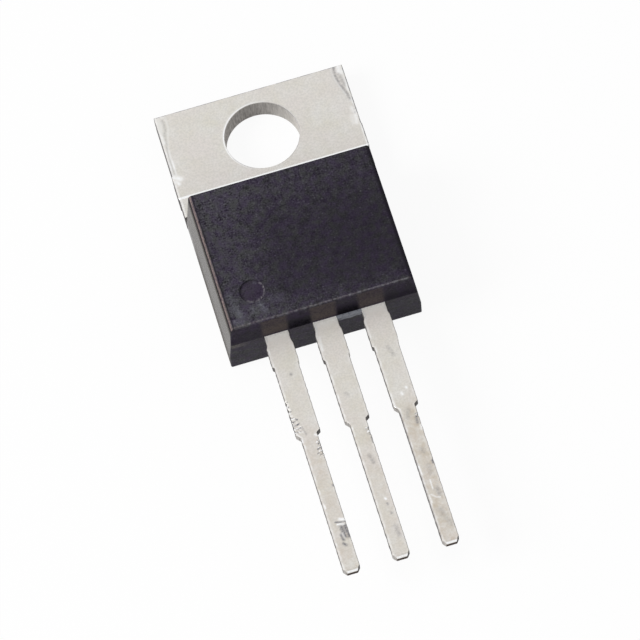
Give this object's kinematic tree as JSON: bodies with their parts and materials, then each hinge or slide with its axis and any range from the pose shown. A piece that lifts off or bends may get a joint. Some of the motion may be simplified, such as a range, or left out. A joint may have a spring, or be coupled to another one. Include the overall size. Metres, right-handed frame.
{
  "type": "power mosfet",
  "caption": "Through-hole power MOSFET: black moulded body on a tinned copper heat-sink tab with a mounting hole, and straight flat leads.",
  "frame": {"origin": "axis of the tab's mounting hole, on the back (heat-sink) face", "axes": "+X to the right seen from the front, +Y up the tab away from the leads, +Z out of the front; the part lies on its back"},
  "size_m": [0.0102, 0.0289, 0.0045],
  "materials": {
    "tinned_copper": "matte tin over copper",
    "epoxy": "moulded, matte",
    "silicon": "polished",
    "solder": "satin",
    "aluminium_wire": "drawn"
  },
  "bodies": {
    "root": {"heat_sink_tab": "tinned_copper", "gate_lead": "tinned_copper", "source_lead": "tinned_copper", "moulded_body": "epoxy", "mosfet_die": "silicon", "die_attach_solder": "solder", "gate_bond_wire": "aluminium_wire", "source_bond_wire_1": "aluminium_wire", "source_bond_wire_2": "aluminium_wire", "source_bond_wire_3": "aluminium_wire"}
  },
  "joints": []
}
